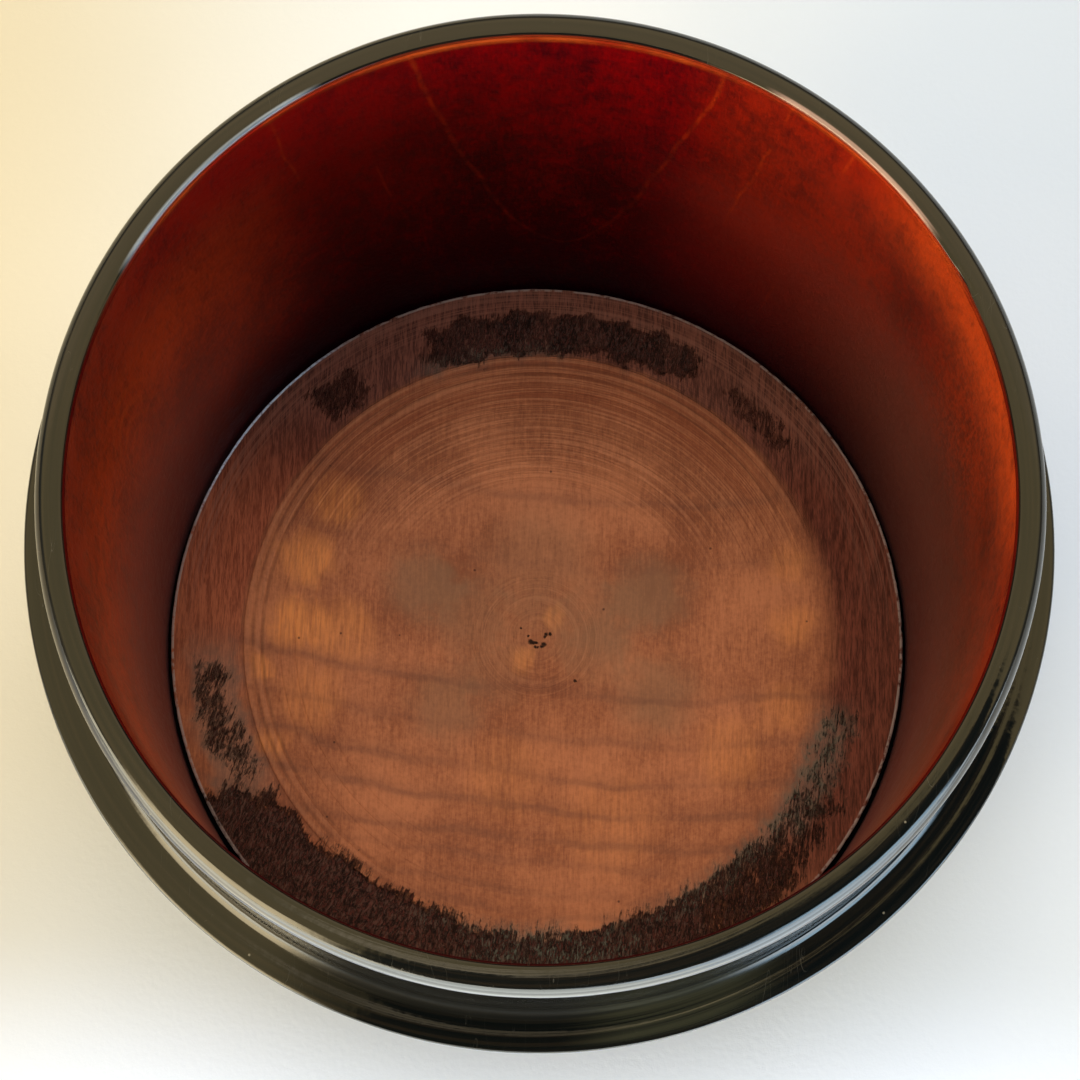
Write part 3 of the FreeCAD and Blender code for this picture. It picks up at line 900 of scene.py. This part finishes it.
def make_disc():
    """The turned floor disc: a field, a lower outer ring, grooves, torn grain and a chipped arris."""
    ring_top = DISC_TOP - STEP_DEPTH
    arris_centre = (DISC_R - ARRIS, ring_top - ARRIS)
    points = [(0, BORE_BOTTOM), (DISC_R, BORE_BOTTOM)]
    points += run(points[-1], (DISC_R, arris_centre[1]), 4)
    points += arc(arris_centre, ARRIS, 0, 90, 5)
    points += [(r, DISC_TOP) for r in reversed(disc_radii())]
    points += [(0, DISC_TOP)]
    masks_of_points = []

    def shape(r, z, angle):
        x, y = r * math.cos(angle) / MM, r * math.sin(angle) / MM
        masks = (0, 0, 0, 0, 0)
        if z > BORE_BOTTOM + 1e-6:
            masks = floor_masks(x, y)
            worn = noise.noise(Vector((x * 0.8, y * 0.8, 5.0)))
            chip = max(0.0, noise.noise(Vector((x * 1.7, y * 1.7, 2.0))) - 0.25)
            near_edge = smooth(r, DISC_R - 0.5 * MM, DISC_R)
            r -= near_edge * MM * (0.03 + 0.03 * worn + 0.22 * chip)
            z -= near_edge * MM * (0.03 * (1 + worn) + 0.12 * chip)
        if z > arris_centre[1]:
            kept = max(smooth(-x, 4, 20), smooth(y, 2, 18))     # the step is worn to a ramp elsewhere
            ramp = STEP_DEPTH * (8 - 7 * kept)
            if z > ring_top + 1e-6:
                z -= STEP_DEPTH * smooth(r, STEP_R - ramp + STEP_DEPTH, STEP_R + STEP_DEPTH)
            for groove in GROOVES:
                z -= GROOVE_DEPTH * (0.1 + 0.6 * kept) * max(0.0, 1 - abs(r - groove) / GROOVE_HALF)
            z -= DIMPLE_DEPTH * max(0.0, 1 - r / DIMPLE_R)
            rough = noise.fractal(Vector((x * 2.2, y * 0.9, 1.0)), 1.0, 2.0, 3)
            z -= masks[0] * MM * (0.10 + 0.10 * rough)
            z -= 0.012 * MM * (1 + noise.noise(Vector((x * 0.25, y * 0.25, 4.0))))
        masks_of_points.append(masks)
        return round_place(r, z, angle)

    disc = turned("floor_board", points, shape)
    for index, name in enumerate(("torn", "ring_dark", "cloud", "dusty", "amber")):
        layer = disc.data.attributes.new(name, "FLOAT", "POINT")
        layer.data.foreach_set("value", [masks[index] for masks in masks_of_points])
    disc.data.materials.append(floor_material())
    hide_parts("floor_disc")
    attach(disc, BODY)
    return disc


def make_pad():
    """Felt pad under the foot, its face slightly pillowed and its edge fuzzy."""
    edge = 0.3 * MM
    points = [(0, 0)] + run((0, 0), (PAD_R - edge, 0), 60)
    points += arc((PAD_R - edge, edge), edge, 270, 360, 4)
    points += [(PAD_R, PAD_TOP), (0, PAD_TOP)]

    def shape(r, z, angle):
        x, y = r * math.cos(angle) / MM, r * math.sin(angle) / MM
        if z < PAD_TOP - 1e-6:
            pillow = noise.fractal(Vector((x * 0.9, y * 0.9, 0.0)), 1.0, 2.0, 3)
            z = max(z + 0.05 * MM * (1 + pillow) * (r > 0), 0)
        return round_place(r, z, angle)

    pad = turned("felt_pad", points, shape, segments=240)
    pad.data.materials.append(felt_material())
    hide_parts("base_pad")
    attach(pad, BODY)
    return pad


# ---------------------------------------------------------------- studio

def make_floor():
    """Plain table top, three metres each way."""
    mesh = bpy.data.meshes.new("table_top")
    half = 3.0
    corners = [(-half, -half, 0), (half, -half, 0), (half, half, 0), (-half, half, 0)]
    mesh.from_pydata(corners, [], [(0, 1, 2, 3)])
    table = bpy.data.objects.new("table_top", mesh)
    bpy.context.scene.collection.objects.link(table)
    mesh.materials.append(paper_material())


# Brightness of what the mug stands under, and of the bright lines in its gloss
OVERHEAD_POWER = 14.6               # watts
NEAR_CARD = 6.6                     # watts per square metre
FAR_CARD = 15.5
WARM = (1.30, 1.20, 0.90)
NEUTRAL = (0.94, 1.0, 0.95)
COOL = (0.80, 0.98, 1.12)
CEILING = (1.22, 0.96, 0.46)
CEILING_FRONT = (3.00, 2.45, 1.60)
CEILING_BACK = (1.45, 1.12, 0.60)
MID_SKY = (0.14, 0.14, 0.13)
VIEWER = (0.020, 0.030, 0.034)
LOW_WARM = (7.6, 6.8, 4.8)
LOW_COOL = (4.2, 6.4, 9.0)
WARM_WINDOW = (9.5, 7.7, 4.6)
COOL_WINDOW = (4.4, 6.4, 8.0)


def add_lamp(name, place, target, size, power, colour):
    """Area lamp of the given width and height, aimed at target, and unseen in reflections."""
    data = bpy.data.lights.new(name, "AREA")
    data.shape = "RECTANGLE"
    data.size, data.size_y = size
    data.energy = power
    data.color = colour
    lamp = bpy.data.objects.new(name, data)
    lamp.visible_glossy = False
    lamp.visible_camera = False
    lamp.location = place
    lamp.rotation_mode = "QUATERNION"
    lamp.rotation_quaternion = (Vector(target) - Vector(place)).to_track_quat("-Z", "Y")
    bpy.context.scene.collection.objects.link(lamp)
    return lamp


def add_card(name, left, right, near, far, brightness, colour):
    """Bright card lying on the table towards the viewer, seen only as a line of light in the gloss."""
    place = Vector(((left + right) / 2, -(near + far) / 2, 0.001))
    size = (right - left, far - near)
    card = add_lamp(name, place, place + Vector((0, 0, 1)), size, brightness * size[0] * size[1], colour)
    card.visible_glossy = True
    card.visible_diffuse = False
    card.visible_transmission = False


class Sky:
    """Nodes of the world, which gives a direction its brightness."""

    def __init__(self):
        world = bpy.data.worlds.new("studio")
        bpy.context.scene.world = world
        world.use_nodes = True
        self.tree = world.node_tree
        self.tree.nodes.clear()
        place = self.node("ShaderNodeTexCoord").outputs["Generated"]
        split = self.node("ShaderNodeSeparateXYZ")
        self.tree.links.new(place, split.inputs[0])
        self.x, self.y, self.z = split.outputs

    node = Shader.node
    feed = Shader.feed
    math = Shader.math
    span = Shader.span
    mix = Shader.mix

    def show(self, colour):
        background = self.node("ShaderNodeBackground")
        output = self.node("ShaderNodeOutputWorld")
        self.feed(background.inputs[0], colour)
        self.feed(output.inputs[0], background.outputs[0])


def make_sky():
    """Olive-warm ceiling above, bright low windows all along the viewer's side, dark shape of the viewer."""
    sky = Sky()
    azimuth = sky.math("MULTIPLY", sky.math("ARCTAN2", sky.y, sky.x), DEGREES)
    aside = sky.math("ABSOLUTE", sky.x)

    def times(a, b):
        return sky.math("MULTIPLY", a, b)

    def sector(low, high, soft):
        return times(sky.span(azimuth, low - soft, low + soft), sky.span(azimuth, high + soft, high - soft))

    not_front = sky.math("MAXIMUM", sky.span(aside, 0.10, 0.40), sky.span(sky.y, 0.0, 0.25))
    low_ceiling = times(not_front, sky.span(sky.z, 0.12, 0.45))
    ceiling = sky.math("MAXIMUM", sky.span(sky.z, 0.74, 0.86), low_ceiling)
    narrow = times(sky.span(sky.y, 0.12, 0.05), sky.span(aside, 0.12, 0.05))
    lit = sky.mix(narrow, CEILING, CEILING_FRONT)
    lit = sky.mix(sky.span(sky.y, 0.24, 0.36), lit, CEILING_BACK)
    colour = sky.mix(ceiling, MID_SKY, lit)
    left_limit = sky.math("ADD", sky.x, sky.math("ADD", times(sky.z, 0.060), times(sky.y, -0.40)))
    past_right = sky.math("MAXIMUM", sky.math("SUBTRACT", sky.x, times(sky.z, 0.25)), 0.0)
    back_limit = sky.math("ADD", sky.math("SUBTRACT", times(sky.z, 0.045), sky.y), times(sky.x, 0.45))
    back_limit = sky.math("SUBTRACT", back_limit, times(past_right, 0.80))
    viewer = times(sky.span(left_limit, -0.03, 0.02), sky.span(back_limit, -0.008, 0.008))
    colour = sky.mix(viewer, colour, VIEWER)
    colour = sky.mix(times(sector(-166, -122, 6), sky.span(sky.z, 0.20, 0.10)), colour, LOW_WARM)
    colour = sky.mix(times(sector(-60, -26, 6), sky.span(sky.z, 0.13, 0.06)), colour, LOW_COOL)
    colour = sky.mix(times(sector(-152, -120, 6), sky.span(sky.z, 0.56, 0.44)), colour, WARM_WINDOW)
    colour = sky.mix(times(sector(-54, -26, 6), sky.span(sky.z, 0.30, 0.20)), colour, COOL_WINDOW)
    sky.show(colour)


def make_lamps():
    """Broad soft light from straight above, and bright cards on the table for the gloss."""
    add_lamp("overhead_softbox", (0.0, 0.08, 1.60), (0, 0, 0), (0.9, 0.9), OVERHEAD_POWER, (0.90, 0.98, 1.15))
    add_card("near_card_warm", -0.25, -0.06, 0.075, 0.16, NEAR_CARD, (1.35, 1.24, 0.92))
    add_card("near_card", -0.06, 0.05, 0.075, 0.16, NEAR_CARD, NEUTRAL)
    add_card("near_card_cool", 0.05, 0.25, 0.075, 0.16, NEAR_CARD, COOL)
    add_card("far_card_warm", -1.8, -0.14, 0.16, 1.8, FAR_CARD, WARM)
    add_card("far_card", -0.14, 0.10, 0.16, 1.8, FAR_CARD, NEUTRAL)
    add_card("far_card_cool", 0.10, 1.8, 0.16, 1.8, FAR_CARD, COOL)


make_camera()
make_cup()
make_liner()
make_disc()
make_pad()
make_floor()
make_sky()
make_lamps()
bpy.context.scene.view_settings.view_transform = "Standard"
